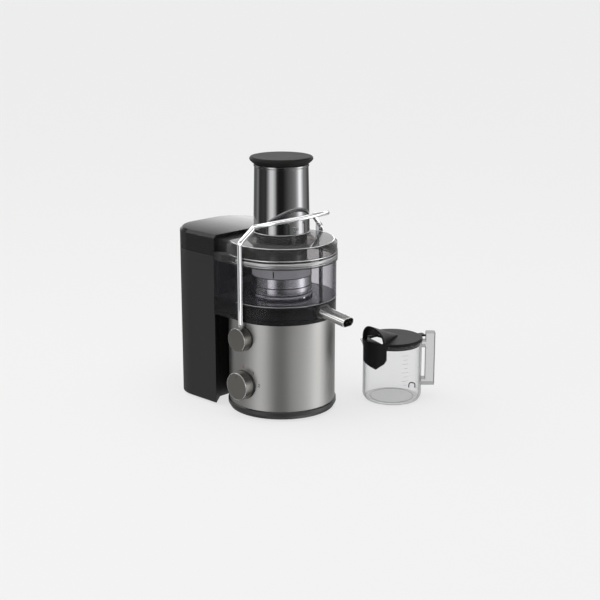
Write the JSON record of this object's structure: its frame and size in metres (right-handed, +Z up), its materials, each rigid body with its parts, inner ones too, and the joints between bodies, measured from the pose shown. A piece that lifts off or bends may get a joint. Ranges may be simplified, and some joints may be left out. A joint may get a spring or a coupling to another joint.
{
  "type": "centrifugal juicer",
  "caption": "Centrifugal juicer: brushed motor housing, clear chamber, wide feed tube with pusher, locking bail, rear pulp container, steel spout and a lidded clear jug.",
  "frame": {"origin": "on the surface that the juicer stands on, where the axis of its motor and basket meets it", "axes": "+X towards the juice spout, -X towards the pulp container, -Y towards the speed dial, +Z up along the motor axis"},
  "size_m": [0.3701, 0.3228, 0.43],
  "materials": {
    "black_plastic": "satin moulded plastic",
    "bin_plastic": "fine matt texture",
    "rubber": "matt",
    "brushed_steel": "brushed",
    "steel": "plain",
    "cast_aluminium": "cast",
    "lamination": "stacked sheet",
    "copper": "enamelled wire",
    "brass": "satin",
    "carbon": "matt",
    "basket_silver": "satin",
    "basket_clear": "clear",
    "switch_plastic": "moulded",
    "gunmetal": "satin metallic",
    "board": "circuit board",
    "chrome": "polished",
    "plunger_plastic": "moulded",
    "collector_smoke": "dark smoke",
    "chamber_clear": "clear",
    "lid_smoke": "smoke tint",
    "tube_smoke": "dark smoke, gloss",
    "pusher_plastic": "matt",
    "jug_clear": "clear"
  },
  "bodies": {
    "housing": {"base_pan": "black_plastic", "feet": "rubber", "base_screws": "steel", "metal_shell": "brushed_steel", "inner_housing": "black_plastic", "top_deck": "black_plastic", "deck_screws": "steel", "shaft_seal": "rubber", "motor_top_bracket": "cast_aluminium", "motor_bottom_bracket": "cast_aluminium", "motor_bolts": "steel", "motor_mounts": "rubber", "stator_core": "lamination", "field_coils": "copper", "brush_holders": "brass", "carbon_brushes": "carbon", "upper_bearing": "steel", "lower_bearing": "steel", "rotary_switch": "switch_plastic", "dial_bezel": "black_plastic", "control_board": "board", "cord_inlet": "black_plastic", "pivot_pins": "steel", "pivot_bezels": "black_plastic", "interlock_switch": "black_plastic", "juice_collector": "collector_smoke", "spout_collar": "black_plastic", "juice_spout": "brushed_steel", "pulp_chamber": "chamber_clear", "lid": "lid_smoke", "lid_catch": "chamber_clear", "lid_seal": "rubber", "feed_tube": "tube_smoke"},
    "spinner": {"rotor_core": "lamination", "armature_winding": "copper", "commutator": "copper", "cooling_fan": "black_plastic", "motor_shaft": "steel", "drive_coupling": "black_plastic", "basket_hub": "black_plastic", "filter_basket": "brushed_steel", "basket_frame": "basket_silver", "basket_rim": "basket_clear", "grater_disc": "brushed_steel"},
    "dial": {"speed_dial": "gunmetal", "dial_shaft": "steel"},
    "bail": {"front_pivot_knob": "gunmetal", "rear_pivot_knob": "gunmetal", "knob_caps": "gunmetal", "bail_rod": "chrome"},
    "interlock": {"interlock_plunger": "plunger_plastic"},
    "pusher": {"pusher_body": "pusher_plastic", "pusher_cap": "pusher_plastic"},
    "pulp_bin": {"pulp_container": "bin_plastic"},
    "jug": {"jug_body": "jug_clear", "jug_handle": "jug_clear"},
    "jug_cover": {"jug_lid": "black_plastic", "jug_hood": "black_plastic"}
  },
  "joints": [
    {"name": "basket_spin", "type": "hinge", "parent": "housing", "child": "spinner", "pos_m": [0, 0, 0], "axis": [0, 0, 1], "continuous": true},
    {"name": "dial_turn", "type": "hinge", "parent": "housing", "child": "dial", "pos_m": [0, 0, 0.0566], "axis": [0, 1, 0], "range_deg": [0, 90]},
    {"name": "bail_swing", "type": "hinge", "parent": "housing", "child": "bail", "pos_m": [0, 0, 0.1365], "axis": [0, 1, 0], "range_deg": [0, 100]},
    {"name": "interlock_press", "type": "slide", "parent": "housing", "child": "interlock", "axis": [0, 1, 0], "range_m": [0, 0.002], "stiffness_N_per_m": 150, "springref_m": -0.001},
    {"name": "pusher_lift", "type": "slide", "parent": "housing", "child": "pusher", "axis": [0, 0, 1], "range_m": [0, 0.2]},
    {"name": "container_slide", "type": "slide", "parent": "housing", "child": "pulp_bin", "axis": [-1, 0, 0], "range_m": [0, 0.14]},
    {"name": "jug_lift", "type": "slide", "parent": "housing", "child": "jug", "axis": [0, 0, 1], "range_m": [0, 0.16]},
    {"name": "jug_cover_lift", "type": "slide", "parent": "jug", "child": "jug_cover", "axis": [0, 0, 1], "range_m": [0, 0.085]}
  ]
}
